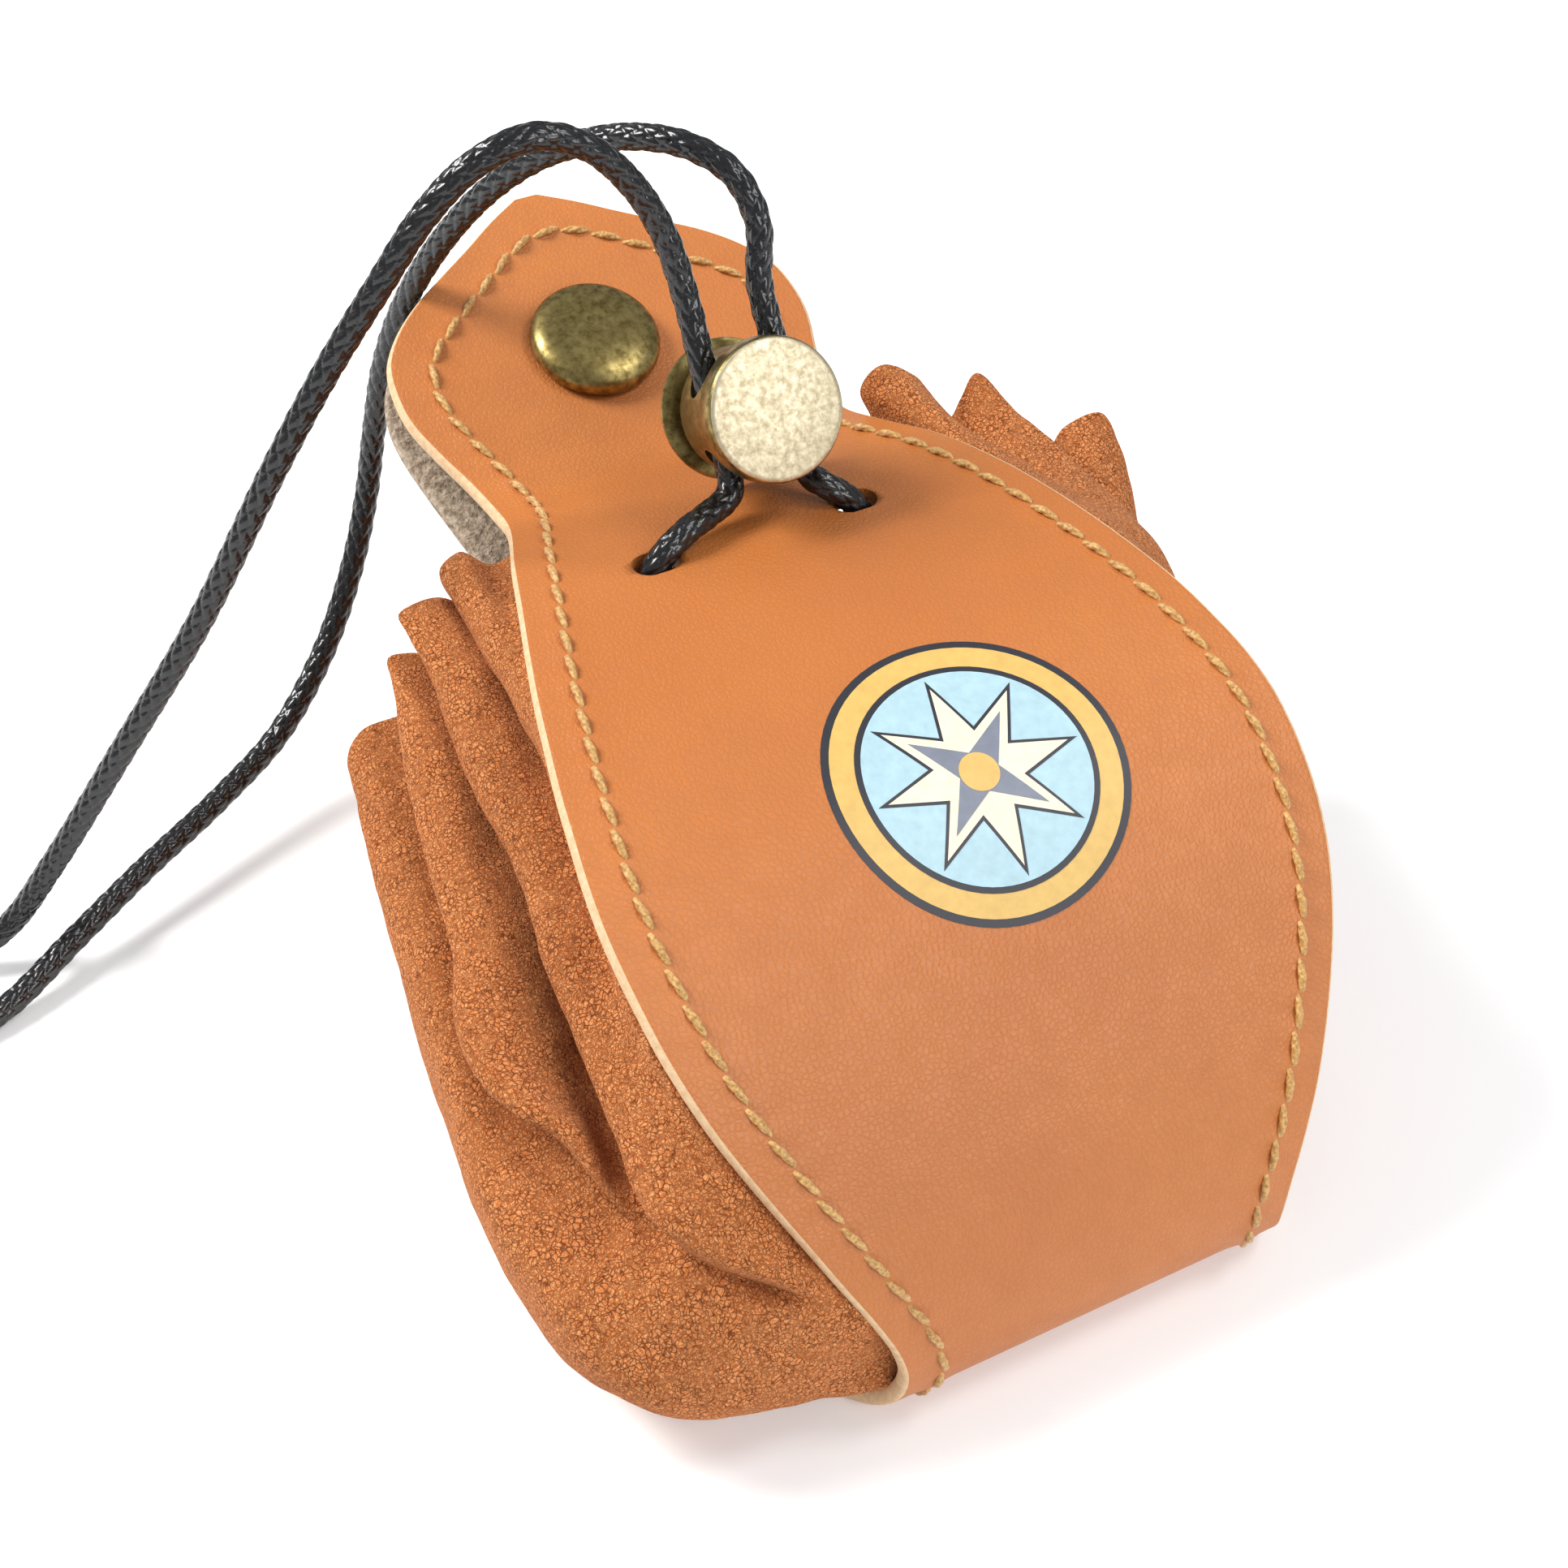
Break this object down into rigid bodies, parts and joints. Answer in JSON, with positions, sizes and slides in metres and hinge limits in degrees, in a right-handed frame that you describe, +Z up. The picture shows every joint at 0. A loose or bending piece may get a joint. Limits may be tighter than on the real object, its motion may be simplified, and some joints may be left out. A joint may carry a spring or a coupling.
{
  "type": "drawstring dice bag",
  "caption": "Leather drawstring pouch lying on its back, with pleated suede side gussets, snapped heads, stitched edges, waxed cord and a push-button cord lock.",
  "frame": {"origin": "on the flat of the back lobe that the bag lies on, in its middle plane, 38 mm from the closed bottom end", "axes": "+X across the bag, +Y from the closed bottom end towards the head and mouth, +Z up from the surface it lies on"},
  "size_m": [0.1739, 0.146, 0.1106],
  "materials": {
    "leather": "smooth fine grain, tan, satin",
    "suede": "rust brown suede, matt, mustard flesh side",
    "thread": "twisted waxed gold-tan thread",
    "brass": "antique brass, brushed",
    "steel": "bright spring wire",
    "cord": "black waxed braid, glossy"
  },
  "bodies": {
    "bag": {"strap": "leather", "gusset_left": "suede", "gusset_right": "suede", "seam_front_left": "thread", "seam_front_right": "thread", "seam_back_left": "thread", "seam_back_right": "thread", "seam_head_front": "thread", "snap_cap": "brass", "snap_socket": "brass", "cord_left": "cord", "cord_right": "cord", "cord_inner": "cord", "end_knot": "cord"},
    "back_head": {"back_flap": "leather", "seam_head_back": "thread", "snap_stud": "brass", "snap_rivet": "brass"},
    "cord_lock": {"lock_housing": "brass", "lock_spring": "steel"},
    "lock_button": {"lock_plunger": "brass"}
  },
  "joints": [
    {"name": "back_head_fold", "type": "hinge", "parent": "bag", "child": "back_head", "pos_m": [0, 0.0601, 0.0447], "axis": [-1, 0, 0], "range_deg": [0, 80]},
    {"name": "cord_lock_slide", "type": "slide", "parent": "bag", "child": "cord_lock", "axis": [0, 0.4848, 0.8746], "range_m": [0, 0.006]},
    {"name": "lock_button_press", "type": "slide", "parent": "cord_lock", "child": "lock_button", "axis": [0, -0.8746, 0.4848], "range_m": [0, 0.0022], "stiffness_N_per_m": 300, "deforming": ["lock_spring"]}
  ]
}
